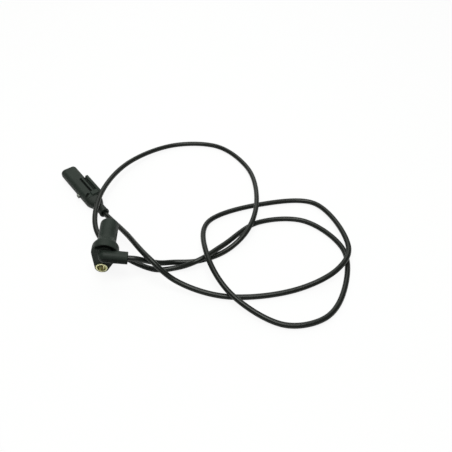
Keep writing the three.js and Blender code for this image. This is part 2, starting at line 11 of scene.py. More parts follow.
import bmesh
import bpy
import numpy as np
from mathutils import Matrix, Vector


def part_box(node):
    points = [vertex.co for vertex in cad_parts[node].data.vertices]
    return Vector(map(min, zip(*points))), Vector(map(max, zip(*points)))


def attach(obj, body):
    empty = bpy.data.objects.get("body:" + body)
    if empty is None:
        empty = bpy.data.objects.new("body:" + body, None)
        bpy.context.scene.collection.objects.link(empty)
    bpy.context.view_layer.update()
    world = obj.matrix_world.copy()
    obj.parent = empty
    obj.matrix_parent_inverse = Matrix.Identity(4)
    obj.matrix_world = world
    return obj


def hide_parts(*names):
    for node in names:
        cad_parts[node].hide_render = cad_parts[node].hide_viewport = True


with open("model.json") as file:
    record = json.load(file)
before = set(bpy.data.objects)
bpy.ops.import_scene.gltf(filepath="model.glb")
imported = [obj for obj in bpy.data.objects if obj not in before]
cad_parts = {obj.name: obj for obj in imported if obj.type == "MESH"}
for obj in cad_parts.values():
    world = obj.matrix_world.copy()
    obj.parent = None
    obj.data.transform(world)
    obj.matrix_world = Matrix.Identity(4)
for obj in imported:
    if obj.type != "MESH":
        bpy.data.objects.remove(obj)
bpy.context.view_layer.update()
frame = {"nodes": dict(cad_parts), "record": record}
nodes = frame["nodes"]
MM = 0.001

# %% [markdown]
# ## Camera
# The lens is found by how the cord gets thinner with distance: the picture is taken from 384 mm above
# the table, looking down at 45 degrees, with a focal length of 527 pixels of a 452 pixel frame.

# %% Camera
FRAME_PIXELS = 452
FOCAL_PIXELS = 527
SENSOR_WIDTH = 36.0
NEAREST_SEEN = 0.01
CAMERA_PLACE = (95 * MM, -341.4 * MM, 384 * MM)
LOOK_DOWN = math.radians(45)
LOOK_TURN = math.radians(-2)

camera_data = bpy.data.cameras.new("camera")
camera_data.sensor_width = SENSOR_WIDTH
camera_data.lens = FOCAL_PIXELS / FRAME_PIXELS * SENSOR_WIDTH
camera_data.clip_start = NEAREST_SEEN
camera = bpy.data.objects.new("camera", camera_data)
camera.location = CAMERA_PLACE
camera.rotation_euler = (math.pi / 2 - LOOK_DOWN, 0, LOOK_TURN)
bpy.context.scene.collection.objects.link(camera)
bpy.context.scene.camera = camera
bpy.context.scene.view_settings.view_transform = "Standard"
print("lens:", round(camera_data.lens, 2))

# %% [markdown]
# ## Surfaces from numpy
# Every new piece is a grid of points: rows run along the piece and columns run round it. One helper
# turns points and faces into a mesh, one closes a grid's ends with a centre point, and one makes all
# faces look outwards. A grid gets a UV map whose U runs along the piece and whose V runs round it. For
# the cord both are in metres, so that its pattern keeps its real scale.


# %% Grid helpers
def mesh_object(name, points, faces, uvs=None):
    """A mesh object at the origin from arrays of points and faces, smooth shaded."""
    mesh = bpy.data.meshes.new(name)
    mesh.from_pydata(np.asarray(points).tolist(), [], [tuple(f) for f in faces])
    if uvs is not None:
        layer = mesh.uv_layers.new(name="UVMap")
        corners = np.empty(len(mesh.loops), dtype=np.int32)
        mesh.loops.foreach_get("vertex_index", corners)
        layer.data.foreach_set("uv", np.asarray(uvs, dtype=np.float32)[corners].ravel())
    mesh.polygons.foreach_set("use_smooth", np.ones(len(mesh.polygons), dtype=bool))
    mesh.update()
    piece = bpy.data.objects.new(name, mesh)
    bpy.context.scene.collection.objects.link(piece)
    return piece


def outward(mesh, weld=None):
    """Turns every face of a closed mesh outwards, after merging points nearer than weld if it is given."""
    fix = bmesh.new()
    fix.from_mesh(mesh)
    if weld:
        bmesh.ops.remove_doubles(fix, verts=fix.verts, dist=weld)
    bmesh.ops.recalc_face_normals(fix, faces=fix.faces)
    fix.to_mesh(mesh)
    fix.free()


def closed_grid(name, rings, along=None, round_length=1.0):
    """rings[i, j] is point j of ring i. Quads join neighbouring rings, and a fan closes each end."""
    count, sides, _ = rings.shape
    i, j = np.meshgrid(np.arange(count - 1), np.arange(sides), indexing="ij")
    k = (j + 1) % sides
    quads = np.stack([i * sides + j, i * sides + k, (i + 1) * sides + k, (i + 1) * sides + j], -1)
    first, last = count * sides, count * sides + 1
    around = np.arange(sides)
    after = (around + 1) % sides
    start_cap = np.stack([np.full(sides, first), after, around], -1)
    end_row = (count - 1) * sides
    end_cap = np.stack([np.full(sides, last), end_row + around, end_row + after], -1)
    points = np.vstack([rings.reshape(-1, 3), rings[0].mean(0), rings[-1].mean(0)])
    if along is None:
        along = np.linspace(0, 1, count)
    u = np.repeat(along, sides)
    v = np.tile(around / sides * round_length, count)
    uvs = np.vstack([np.stack([u, v], -1), [[along[0], 0]], [[along[-1], 0]]])
    faces = [*quads.reshape(-1, 4), *start_cap, *end_cap]
    piece = mesh_object(name, points, faces, uvs)
    outward(piece.data)
    return piece


print("helpers:", ", ".join(f.__name__ for f in (mesh_object, outward, closed_grid)))

# %% [markdown]
# ## Places on the head and on the plug
# The head lies rolled about its barrel, and the plug lies turned on the table. It is easier to think in
# each one's own millimetres, so each has a function that takes such a point to its place on the table:
# a turn, then a shift. The head's frame starts on the barrel's axis at the flange's rear face, and the
# plug's under the middle of its front rim.

# %% Places
HEAD_ROLL = math.radians(17.1)
EAR_OFFSET = 19.2
BUSHING_BACK = 1.1
OUTLET_RISE = math.radians(8.1)
OUTLET_SETBACK = 2.9
OUTLET_LENGTH = 21.2
PLUG_TURN = math.radians(35.3)
PLUG_FRONT = np.array([-65.9, 128.6, 0.0])
PLUG_HEIGHT = 12.0

bushing_low, bushing_high = (np.array(c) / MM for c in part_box("mounting_bushing"))
bushing_middle = (bushing_low + bushing_high) / 2
HEAD_ORIGIN = np.array([
    bushing_middle[0] + EAR_OFFSET * math.sin(HEAD_ROLL),
    bushing_low[1] + BUSHING_BACK,
    bushing_middle[2] + EAR_OFFSET * math.cos(HEAD_ROLL),
])


def head_place(x, y, z):
    """A point of the head's frame in row millimetres: a turn about Y by the roll, then a shift."""
    c, s = math.cos(HEAD_ROLL), math.sin(HEAD_ROLL)
    x, y, z = np.broadcast_arrays(x, y, z)
    return np.stack([c * x + s * z, y, -s * x + c * z], -1) + HEAD_ORIGIN


def on_outlet(distance):
    """The point of the outlet's axis at that distance from the barrel's axis."""
    return head_place(distance * math.cos(OUTLET_RISE), -OUTLET_SETBACK, distance * math.sin(OUTLET_RISE))


def plug_place(x, back, z):
    """A point of the plug in row millimetres, with back the distance behind the front rim."""
    c, s = math.cos(PLUG_TURN), math.sin(PLUG_TURN)
    x, back, z = np.broadcast_arrays(x, back, z)
    return np.stack([c * x + s * back, s * x - c * back, z], -1) + PLUG_FRONT


print("head's origin in mm:", HEAD_ORIGIN.round(2), "outlet's end:", on_outlet(OUTLET_LENGTH).round(2))

# %% [markdown]
# ## The cord's route
# The lead is about 1.7 m of round two-core cord, 5.2 mm thick, thrown down in loops. Its route is a
# list of points, with the upper strand raised at each crossing. The cord starts inside
# the head's outlet and ends in the boot, and it runs straight for a short way at both.

# %% Cord route
CORD_DIAMETER = 5.2
CORD_RADIUS = CORD_DIAMETER / 2
SHEATH_START = 9.2
OUTLET_STRAIGHT = 7.0
BOOT_END = 84.5
NECK_LENGTH = 12.0
BOOT_GRIP = 18.0
ROUTE = [
    (43, -14.6, 10.4), (56, -9.1, 4.3), (80, -7.1, 3.1), (107.6, 5.3, 3.4), (128.5, 25.4, 8.9),
    (141.3, 66, 9.7), (136, 132.5, 3.5), (102.5, 174.5, 3.3), (50.3, 178.5, 3.6), (-0.8, 136.8, 10),
    (-23.6, 72, 14.6), (-15.8, 19, 12.8), (35.5, -15.6, 3.5), (60.5, -15, 3.5), (81, -11.4, 9.2),
    (104, 8.6, 7.1), (142.2, 43.3, 3.3), (189.5, 43.1, 3.3), (221.8, 2.7, 3.2), (211.3, -51, 3.2),
    (190, -77.4, 3.2), (154, -82.9, 3.4), (110.2, -53.3, 9.2), (88.9, -11.7, 16), (90.9, 44.6, 5.3),
    (146, 70.2, 3.4), (203.4, 70.1, 3.2), (225.5, 0, 9.2), (210, -26.5, 8.4), (168.4, -45.6, 3.4),
    (105, -51.1, 3.8), (60.6, -38, 11.5), (35.6, -21.4, 25.8), (9.7, 21, 14.8),
]

head_end = [on_outlet(d) for d in (SHEATH_START, OUTLET_LENGTH, OUTLET_LENGTH + OUTLET_STRAIGHT)]
plug_backs = (BOOT_END + CORD_RADIUS, BOOT_END - NECK_LENGTH / 2, BOOT_END - BOOT_GRIP)
plug_end = [plug_place(0, back, PLUG_HEIGHT / 2) for back in plug_backs]
route_points = np.vstack([head_end, ROUTE, plug_end])
print("route points:", len(route_points))

# %% [markdown]
# ## A smooth line through the points
# A Bezier curve drawn by hand would do for a picture, but here the cord has to lie exactly where the
# construction has it. So the points go through a centripetal Catmull-Rom curve, the same curve that the
# construction uses, and the result is cut into even steps so that the mesh has even faces.

# %% Curve
CURVE_POINTS = 80


def centripetal(points):
    """A centripetal Catmull-Rom curve: each span is a cubic, with knots at the chords' square roots."""
    points = np.vstack([2 * points[0] - points[1], points, 2 * points[-1] - points[-2]])
    p0, p1, p2, p3 = points[:-3], points[1:-2], points[2:-1], points[3:]
    knot = np.sqrt(np.linalg.norm(np.diff(points, axis=0), axis=1))[:, None]
    d0, d1, d2 = knot[:-2], knot[1:-1], knot[2:]
    start = ((p1 - p0) / d0 - (p2 - p0) / (d0 + d1) + (p2 - p1) / d1) * d1
    end = ((p2 - p1) / d1 - (p3 - p1) / (d1 + d2) + (p3 - p2) / d2) * d1
    t = np.linspace(0, 1, CURVE_POINTS, endpoint=False)[None, :, None]
    spans = (
        (2 * t**3 - 3 * t**2 + 1) * p1[:, None]
        + (t**3 - 2 * t**2 + t) * start[:, None]
        + (3 * t**2 - 2 * t**3) * p2[:, None]
        + (t**3 - t**2) * end[:, None]
    )
    return np.vstack([spans.reshape(-1, 3), points[-2:-1]])


def evenly(line, step):
    """The same line with points a fixed step apart, and the distance of each from the start."""
    lengths = np.concatenate([[0], np.cumsum(np.linalg.norm(np.diff(line, axis=0), axis=1))])
    count = int(round(lengths[-1] / step))
    at = np.linspace(0, lengths[-1], count + 1)
    return np.stack([np.interp(at, lengths, line[:, k]) for k in range(3)], -1), at


def side_and_up(line):
    """Two unit normals of a line: one level with the table, one square to it and to the line."""
    tangent = np.gradient(line, axis=0)
    tangent /= np.linalg.norm(tangent, axis=1, keepdims=True)
    level = np.cross(np.array([0.0, 0.0, 1.0]), tangent)
    level /= np.linalg.norm(level, axis=1, keepdims=True)
    return level, np.cross(tangent, level)


CORD_STEP = 1.4
cord_line, cord_along = evenly(centripetal(route_points), CORD_STEP)

# %% [markdown]
# ## The cord's surface
# A circle is carried along the line. Real cord keeps a faint twist from its cores, so the radius is
# modulated by a slow two-start helix a few hundredths of a millimetre deep. A bevelled curve would be
# quicker to make, but it couldn't take the twist.

# %% Cord surface
CORD_SIDES = 28
TWIST_LENGTH = 46.0
TWIST_DEPTH = 0.02

cord_level, cord_up = side_and_up(cord_line)
angle = np.linspace(0, 2 * np.pi, CORD_SIDES, endpoint=False)[None, :]
twist = 2 * angle - 2 * np.pi * cord_along[:, None] / TWIST_LENGTH
cord_radius = CORD_RADIUS - TWIST_DEPTH * (0.5 - 0.5 * np.cos(twist))
cord_rings = (
    cord_line[:, None]
    + (cord_radius * np.cos(angle))[..., None] * cord_level[:, None]
    + (cord_radius * np.sin(angle))[..., None] * cord_up[:, None]
)
cord = closed_grid("cord", cord_rings * MM, cord_along * MM, math.pi * CORD_DIAMETER * MM)
print("cord faces:", len(cord.data.polygons))

# %% [markdown]
# ## Light
# The picture has an even white surround, hardly a shadow and one clear line of light along the cord. A
# dim world, a lamp overhead, a wide one behind and a faint one in front give that. The faintly green
# tint of the lamps is the picture's own. They stay weak enough that a colour renders about as written.

# %% Light
WORLD_STRENGTH = 0.2
LAMP_TINT = (0.96, 1.0, 0.94)
LAMPS = [
    ("top", (0.08, -0.06, 1.1), (0.06, 0.03, 0.0), 0.7, 8.0),
    ("back", (0.0, 1.05, 0.95), (0.06, 0.05, 0.0), 1.5, 8.0),
    ("front", (0.08, -0.65, 1.05), (0.06, 0.05, 0.0), 0.5, 1.5),
]

world = bpy.data.worlds.new("studio")
bpy.context.scene.world = world
world.use_nodes = True
world.node_tree.nodes["Background"].inputs["Color"].default_value = (1, 1, 1, 1)
world.node_tree.nodes["Background"].inputs["Strength"].default_value = WORLD_STRENGTH


def aim(obj, target):
    """Turns an object so that its -Z axis points at the target: first a tilt, then a turn about Z."""
    away = np.array(obj.location) - np.array(target)
    flat = math.hypot(away[0], away[1])
    obj.rotation_euler = (math.atan2(flat, away[2]), 0, math.atan2(away[0], -away[1]))


for lamp_name, place, target, size, power in LAMPS:
    lamp_data = bpy.data.lights.new(lamp_name, "AREA")
    lamp_data.shape = "DISK"
    lamp_data.size = size
    lamp_data.energy = power
    lamp_data.color = LAMP_TINT
    lamp = bpy.data.objects.new(lamp_name, lamp_data)
    lamp.location = place
    aim(lamp, target)
    bpy.context.scene.collection.objects.link(lamp)
print("lamps:", ", ".join(lamp_row[0] for lamp_row in LAMPS))

# %% [markdown]
# ## Table
# The table is one square, large enough to fill the picture to its edges, a fifth of a millimetre under
# the cord so that the two surfaces never share a place.

# %% Table
FLOOR_HALF = 60.0
FLOOR_DROP = 0.0002
corner = np.array([[-1, -1], [1, -1], [1, 1], [-1, 1]]) * FLOOR_HALF
floor_points = np.column_stack([corner, np.full(4, -FLOOR_DROP)])
floor = mesh_object("floor", floor_points, [(0, 1, 2, 3)])
print("table side in metres:", 2 * FLOOR_HALF)

# %% [markdown]
# ## Shader maths as Python
# A small class wraps a node socket. Adding or multiplying two of them adds the Math node that does it,
# so a bump height can be written as one line of arithmetic. A second class holds a material with one
# Principled shader and adds every other kind of node.


# %% Shader expressions
class Value:
    """A number that varies over a surface: a node's output socket with arithmetic."""

    def __init__(self, shader, socket):
        self.shader = shader
        self.socket = socket

    def math(self, operation, *others):
        inputs = [self.socket] + [o.socket if isinstance(o, Value) else o for o in others]
        node = self.shader.add("ShaderNodeMath", {"operation": operation}, inputs)
        return Value(self.shader, node.outputs[0])

    def __add__(self, other):
        return self.math("ADD", other)

    def __mul__(self, other):
        return self.math("MULTIPLY", other)

    def __sub__(self, other):
        return self.math("SUBTRACT", other)

    def __rsub__(self, other):
        return self.math("MULTIPLY", -1.0).math("ADD", other)

    __radd__ = __add__
    __rmul__ = __mul__

    def larger(self, other):
        return self.math("MAXIMUM", other)

    def stepped(self, low, high):
        """A smooth step: 0 below low, 1 above high."""
        settings = {"interpolation_type": "SMOOTHSTEP"}
        node = self.shader.add("ShaderNodeMapRange", settings, [self.socket, low, high, 0.0, 1.0])
        return Value(self.shader, node.outputs[0])

    def between(self, rise, fall):
        """A smooth band: it rises over the first pair of numbers and falls over the second."""
        return self.stepped(*rise) * (1 - self.stepped(*fall))


class Finish:
    """A material with one Principled shader, built up by short calls."""

    def __init__(self, name, color, roughness, metallic=0.0, specular=0.5):
        self.material = bpy.data.materials.new(name)
        self.material.use_nodes = True
        self.tree = self.material.node_tree
        self.shader = self.tree.nodes["Principled BSDF"]
        self.set("Base Color", (*color, 1.0))
        self.set("Roughness", roughness)
        self.set("Metallic", metallic)
        self.set("Specular IOR Level", specular)

    def put(self, socket, value):
        """Links a Value or a socket to that input, or sets a plain value on it."""
        value = value.socket if isinstance(value, Value) else value
        if isinstance(value, bpy.types.NodeSocket):
            self.tree.links.new(value, socket)
        else:
            socket.default_value = value

    def add(self, kind, settings=None, inputs=()):
        """A node of that type: settings first, then values or links by place or by socket name."""
        node = self.tree.nodes.new(kind)
        for key, value in (settings or {}).items():
            setattr(node, key, value)
        pairs = inputs.items() if isinstance(inputs, dict) else enumerate(inputs)
        for key, value in pairs:
            self.put(node.inputs[key], value)
        return node

    def set(self, socket, value):
        """The same on the Principled shader."""
        self.put(self.shader.inputs[socket], value)

    def place(self, source="Object"):
        return self.add("ShaderNodeTexCoord").outputs[source]

    def noise(self, scale, detail, roughness, vector=None):
        vector = vector or self.place()
        inputs = {"Vector": vector, "Scale": scale, "Detail": detail, "Roughness": roughness}
        return Value(self, self.add("ShaderNodeTexNoise", {}, inputs).outputs["Fac"])

    def along(self, start, toward):
        """Millimetres from one point towards another: Object coordinates dotted with their line."""
        line = (toward - start) / np.linalg.norm(toward - start)
        inputs = {0: self.place(), 1: tuple(line / MM)}
        dot = self.add("ShaderNodeVectorMath", {"operation": "DOT_PRODUCT"}, inputs)
        return Value(self, dot.outputs["Value"]) - float(line @ start)

    def axes(self, place):
        """Along x, y and z of the frame whose function is given, such as the head's or the plug's."""
        start = place(0, 0, 0)
        return [self.along(start, place(*unit)) for unit in ((1, 0, 0), (0, 1, 0), (0, 0, 1))]

    def blend(self, mask, low, high):
        """A colour between two, by a mask from 0 to 1. Either colour may be a socket."""
        low, high = (c if isinstance(c, bpy.types.NodeSocket) else (*c, 1.0) for c in (low, high))
        inputs = {0: mask, 6: low, 7: high}
        return self.add("ShaderNodeMix", {"data_type": "RGBA"}, inputs).outputs[2]

    def bump(self, height, distance, strength):
        inputs = {"Height": height, "Distance": distance, "Strength": strength}
        self.set("Normal", self.add("ShaderNodeBump", {}, inputs).outputs[0])


print("classes:", Value.__name__, Finish.__name__)

# %% [markdown]
# ## Painted shade in the hollows
# The hollow behind the collar, the outlet's side and the bottoms of the plug's grooves get painted shade:
# their colour is darkened where shade falls, and their finish is rougher. Each is a mask: a product of smooth
# steps on distances in the head's or the plug's own millimetres. A painted texture would do too, but a
# formula needs no picture.

# %% Painted shade masks
# Where these masks reach, painted shade darkens the plastic: behind the collar, along the outlet, and in the
# plug's grooves and catch recess.
HOLLOW_RADIUS = (11.3, 11.9)
HOLLOW_HEIGHT = (4.6, 5.4)
HOLLOW_DEPTH = ((-0.9, -0.3), (3.8, 4.4))
BAND_LIFT = 0.12
BAND_OUT = (5.1, 5.75)
RECESS_HEIGHT = ((9.8, 10.2), (10.9, 11.5))
GROOVES_ACROSS = ((1.2, 1.5), (7.4, 8.0))
GROOVES_BEHIND = ((24.6, 25.2), (52.4, 53.2))
CATCH_ACROSS = ((-6.8, -6.4), (-1.6, -1.0))
CATCH_BEHIND = ((50.6, 51.2), (58.0, 58.6))
HEAD_SHADE_SHARE = 0.75


def collar_hollow_shade(finish):
    """1 in the hollow behind the collar, above the outlet, where shade is painted, 0 elsewhere, in the head's
    own frame.
    """
    across, depth, height = finish.axes(head_place)
    radius = (across * across + height * height).math("SQRT")
    inside = (1 - radius.stepped(*HOLLOW_RADIUS)) * height.stepped(*HOLLOW_HEIGHT)
    return inside * depth.between(*HOLLOW_DEPTH)


def outlet_shade_band(finish):
    """1 along the outlet's side, where shade is painted: how far a point lies out along a line square to the
    outlet's axis.
    """
    axis = on_outlet(1) - on_outlet(0)
    rear = np.array([0.0, -1.0, 0.0])
    out = rear - BAND_LIFT * np.cross(axis, rear)
    return finish.along(on_outlet(0), on_outlet(0) + out).stepped(*BAND_OUT)


def recess_shade_mask(finish):
    """1 where shade is painted in the plug's grooves and catch recess, partly where it is painted on the
    head, 0 elsewhere.
    """
    across, behind, height = finish.axes(plug_place)
    grooves = across.between(*GROOVES_ACROSS) * behind.between(*GROOVES_BEHIND)
    catch = across.between(*CATCH_ACROSS) * behind.between(*CATCH_BEHIND)
    plug_shade = height.between(*RECESS_HEIGHT) * grooves.larger(catch)
    head_shade = collar_hollow_shade(finish).larger(outlet_shade_band(finish)) * HEAD_SHADE_SHARE
    return plug_shade.larger(head_shade)


# The marks are painted shade, with a rougher finish.
print("mould marks on the plug and the head")

# %% [markdown]
# ## Plastic, rubber and jacket
# Moulded glass-filled nylon is a dark, faintly green grey with a fine grain and cloudy variations of
# gloss where it met the mould. Rubber is even in colour with a waxy gloss. The cord's jacket is blacker
# and shinier, and its grain is drawn out along the cord because it was extruded.

# %% Plastic, rubber and jacket
FINE_NOISE = (2.0, 0.5)
GRAINY_NOISE = (2.0, 0.6)
RICH_NOISE = (3.0, 0.6)
CLOUD_SCALE = 90.0
CLOUD_STEP = (0.3, 0.7)
PLASTIC_SPECULAR = 0.15
PLASTIC_GLOSS_SWING = 0.1
PLASTIC_GRAIN_SCALE = 2600.0
PLASTIC_GRAIN_DEPTH = 0.006
PLASTIC_BUMP = 0.6
# How far the painted shade darkens the colour in the recesses, and how much rougher it makes them.
PAINTED_SHADE_LEVEL = 0.25
RECESS_ROUGHNESS = 0.3


def moulded(name, color, roughness, cloud=0.35, painted_shade_mask=None):
    """Moulded plastic: cloudy gloss, slightly uneven colour, a fine grain in the surface, and painted shade
    where a mask for it is given.
    """
    finish = Finish(name, color, roughness, specular=PLASTIC_SPECULAR)
    cloudy = finish.noise(CLOUD_SCALE, *RICH_NOISE).stepped(*CLOUD_STEP)
    pale = tuple(min(1.0, c * (1 + cloud)) for c in color)
    shade = finish.blend(cloudy, color, pale)
    gloss = cloudy * PLASTIC_GLOSS_SWING + (roughness - PLASTIC_GLOSS_SWING / 2)
    # Painted shade: the colour is darkened where the mask reaches, and the finish is made rougher there.
    if painted_shade_mask:
        shade_and_roughness = painted_shade_mask(finish)
        shade = finish.blend(shade_and_roughness, shade, tuple(c * PAINTED_SHADE_LEVEL for c in color))
        gloss = gloss + shade_and_roughness * RECESS_ROUGHNESS
    finish.set("Base Color", shade)
    finish.set("Roughness", gloss)
    fine = finish.noise(PLASTIC_GRAIN_SCALE, *GRAINY_NOISE)
    finish.bump(fine, PLASTIC_GRAIN_DEPTH * MM, PLASTIC_BUMP)
    return finish.material


RUBBER_SPECULAR = 0.25
RUBBER_GLOSS_SWING = 0.14
RUBBER_GRAIN_SCALE = 1400.0
RUBBER_GRAIN_DEPTH = 0.008
RUBBER_WAX_SCALE = 150.0
RUBBER_WAX_STEP = (0.3, 0.75)
SOFT_BUMP = 0.5


def rubber(name, color, roughness):
    """Rubber or soft jacket: even colour, waxy cloudy gloss, a soft low grain."""
    finish = Finish(name, color, roughness, specular=RUBBER_SPECULAR)
    waxy = finish.noise(RUBBER_WAX_SCALE, *RICH_NOISE).stepped(*RUBBER_WAX_STEP)
    finish.set("Roughness", waxy * RUBBER_GLOSS_SWING + (roughness - RUBBER_GLOSS_SWING / 2))
    fine = finish.noise(RUBBER_GRAIN_SCALE, *FINE_NOISE)
    finish.bump(fine, RUBBER_GRAIN_DEPTH * MM, SOFT_BUMP)
    return finish.material


JACKET_SPECULAR = 0.29
JACKET_STRETCH = (0.16, 1.0, 1.0)
JACKET_GLOSS_SWING = 0.12
JACKET_GRAIN_SCALE = 1900.0
JACKET_GRAIN_DEPTH = 0.005
JACKET_WAX_SCALE = 70.0


def cord_jacket(name, color, roughness):
    """Extruded jacket: the grain is drawn out along the cord, so it reads the UV map in metres."""
    finish = Finish(name, color, roughness, specular=JACKET_SPECULAR)
    inputs = {"Vector": finish.place("UV"), "Scale": JACKET_STRETCH}
    stretch = finish.add("ShaderNodeMapping", {}, inputs)
    drawn = finish.noise(JACKET_GRAIN_SCALE, *RICH_NOISE, stretch.outputs[0])
    waxy = finish.noise(JACKET_WAX_SCALE, *FINE_NOISE).stepped(*CLOUD_STEP)
    finish.set("Roughness", waxy * JACKET_GLOSS_SWING + (roughness - JACKET_GLOSS_SWING / 2))
    finish.bump(drawn, JACKET_GRAIN_DEPTH * MM, SOFT_BUMP)
    return finish.material


print("recipes:", ", ".join(f.__name__ for f in (moulded, rubber, cord_jacket)))

# %% [markdown]
# ## Metal
# Turned brass, tinned pins and the ground magnet share a recipe: fine marks in the gloss and a slow
# tarnish in the colour. The bushing's bore also gets two dark brown bands of painted shade. They are masks on
# distances across the bolt's axis, and a third keeps them off the ring's faces.

# %% Metal
TARNISH_SCALE = 260.0
TARNISH_STEP = (0.35, 0.75)
METAL_DULL = 0.72
BRASS_DULL = 0.8
BRASS_MARK_SCALE = 1800.0
MARK_GLOSS_SWING = 0.2
MARK_DEPTH = 0.01
MARK_BUMP = 0.5
# The colour and the places of the painted shade in the bushing's bore.
BORE_SHADE_COLOR = (0.13, 0.085, 0.02)
BORE_EDGE = (4.2, 4.5)
WIDE_SHADE_BAND = ((-1.3, -0.7), (-0.1, 0.6))
WIDE_SHADE_TOP = (0.5, 2.5)
NARROW_SHADE_BAND = ((-3.9, -3.6), (-3.2, -2.7))
NARROW_SHADE_SHARE = 0.8


def metal(name, color, roughness, mark_scale, dull=METAL_DULL, painted_shade=None):
    """Turned or plated metal, with painted shade laid over its tarnish where a mask for it is given."""
    finish = Finish(name, color, roughness, metallic=1.0)
    tarnish = finish.noise(TARNISH_SCALE, *RICH_NOISE).stepped(*TARNISH_STEP)
    shade = finish.blend(tarnish, color, tuple(c * dull for c in color))
    # Painted shade laid over the tarnish, where a mask for it is given.
    if painted_shade:
        shade = finish.blend(painted_shade(finish), shade, BORE_SHADE_COLOR)
    finish.set("Base Color", shade)
    marks = finish.noise(mark_scale, *FINE_NOISE)
    finish.set("Roughness", marks * MARK_GLOSS_SWING + (roughness - MARK_GLOSS_SWING / 2))
    finish.bump(marks, MARK_DEPTH * MM, MARK_BUMP)
    return finish.material


def bore_shade_bands(finish):
    """1 on the two bands of painted shade in the bushing's bore, 0 elsewhere: bands across the bolt's axis.
    """
    across = finish.along(bushing_middle, bushing_middle + np.array([1.0, 0.0, 0.0]))
    height = finish.along(bushing_middle, bushing_middle + np.array([0.0, 0.0, 1.0]))
    radius = (across * across + height * height).math("SQRT")
    wide = across.between(*WIDE_SHADE_BAND) * (1 - height.stepped(*WIDE_SHADE_TOP))
    narrow = across.between(*NARROW_SHADE_BAND)
    return wide.larger(narrow * NARROW_SHADE_SHARE) * (1 - radius.stepped(*BORE_EDGE))


print("recipes:", metal.__name__, bore_shade_bands.__name__)

# %% [markdown]
# ## The table's finish
# A white table would light the object from below and wash out its dark plastic. So the table bounces
# little light, shows a dim white to mirror-like rays, and glows white with a faint shadow for the eye.
# The Light Path node tells the three apart, and it only steers a colour and a Mix Shader's factor.

# %% Table finish
EYE_SHARE = 0.9
MIRRORED_SHARE = 0.1
SEEN_COLOR = (0.95, 0.95, 0.95)
BOUNCE_COLOR = (0.25, 0.25, 0.25)
TABLE_ROUGHNESS = 0.9
TABLE_SPECULAR = 0.1
TABLE_GRAIN_SCALE = 900.0
TABLE_GRAIN_DEPTH = 0.01
TABLE_BUMP = 0.3


def table_finish(name):
    """Principled below, a white glow above it, mixed by the kind of ray that asks."""
    finish = Finish(name, SEEN_COLOR, TABLE_ROUGHNESS, specular=TABLE_SPECULAR)
    path = finish.add("ShaderNodeLightPath").outputs
    eye = Value(finish, path["Is Camera Ray"])
    mirrored = Value(finish, path["Is Glossy Ray"]).larger(Value(finish, path["Is Transmission Ray"]))
    finish.set("Base Color", finish.blend(eye.larger(mirrored), BOUNCE_COLOR, SEEN_COLOR))
    fine = finish.noise(TABLE_GRAIN_SCALE, *FINE_NOISE)
    finish.bump(fine, TABLE_GRAIN_DEPTH * MM, TABLE_BUMP)
    white = finish.add("ShaderNodeEmission", {}, {"Color": (1, 1, 1, 1), "Strength": 1.0})
    glow = eye * EYE_SHARE + mirrored * MIRRORED_SHARE
    mixed = finish.add("ShaderNodeMixShader", {}, {0: glow, 1: finish.shader.outputs[0], 2: white.outputs[0]})
    finish.put(finish.tree.nodes["Material Output"].inputs["Surface"], mixed.outputs[0])
    return finish.material


floor.data.materials.append(table_finish("floor"))
print("table finish:", floor.data.materials[0].name)

# %% [markdown]
# ## A finish for every piece
# The construction's record names a material slot for each piece. One table gives each slot its finish,
# and every solid gets its own, because some of them are seen as they are: the pins and the wires.

# %% Finishes
FINISHES = {
    # Black plastic: painted shade in the head's and the plug's hollows and along the outlet.
    "black_plastic": moulded("black_plastic", (0.018, 0.024, 0.02), 0.48, painted_shade_mask=recess_shade_mask),
    # Brass: painted shade in the bushing's bore.
    "brass": metal("brass", (0.78, 0.76, 0.46), 0.34, BRASS_MARK_SCALE, BRASS_DULL, bore_shade_bands),
    "carrier_plastic": moulded("carrier_plastic", (0.58, 0.49, 0.25), 0.5, cloud=0.1),
    "magnet": metal("magnet", (0.2, 0.21, 0.22), 0.35, 1200.0),
    "chip": moulded("chip", (0.011, 0.011, 0.012), 0.45),
    "tinned_copper": metal("tinned_copper", (0.6, 0.61, 0.63), 0.25, 2200.0),
    "red_core": rubber("red_core", (0.25, 0.017, 0.014), 0.5),
    "blue_core": rubber("blue_core", (0.023, 0.047, 0.156), 0.5),
    "cord_sheath": cord_jacket("cord_sheath", (0.0076, 0.0092, 0.0074), 0.32),
    "boot_rubber": rubber("boot_rubber", (0.013, 0.017, 0.014), 0.48),
    "pale_lock": moulded("pale_lock", (0.21, 0.22, 0.2), 0.45, cloud=0.1),
    "holder_plastic": moulded("holder_plastic", (0.05, 0.055, 0.05), 0.55),
    "seal_rubber": rubber("seal_rubber", (0.147, 0.205, 0.095), 0.6),
}
for part in frame["record"]["subparts"]:
    shown = nodes[part["node"]]
    shown.data.materials.clear()
    shown.data.materials.append(FINISHES[part["material_slot"]])


def finished(piece, slot, node):
    """Gives a new piece its finish, its slot and its body, and lets it stand for the CAD node."""
    piece.data.materials.clear()
    piece.data.materials.append(FINISHES[slot])
    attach(piece, "root")
    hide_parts(node)


finished(cord, "cord_sheath", "cable")
print("finishes:", ", ".join(FINISHES))

# %% [markdown]
# ## Moulded bodies
# The head and the plug's housing are moulded, so every edge and inner corner is a small radius. Their
# solids already have the right form. A copy is rebuilt from even little squares by a voxel remesh, and
# a few rounds of smoothing pull each corner into a fillet as a mould maker would cut it. A Bevel
# modifier would only round the outer edges.

# %% Softened copies
WELD_DISTANCE = 1e-6
SMOOTH_PULL = 0.5
WEIGHT_LEVELS = 10


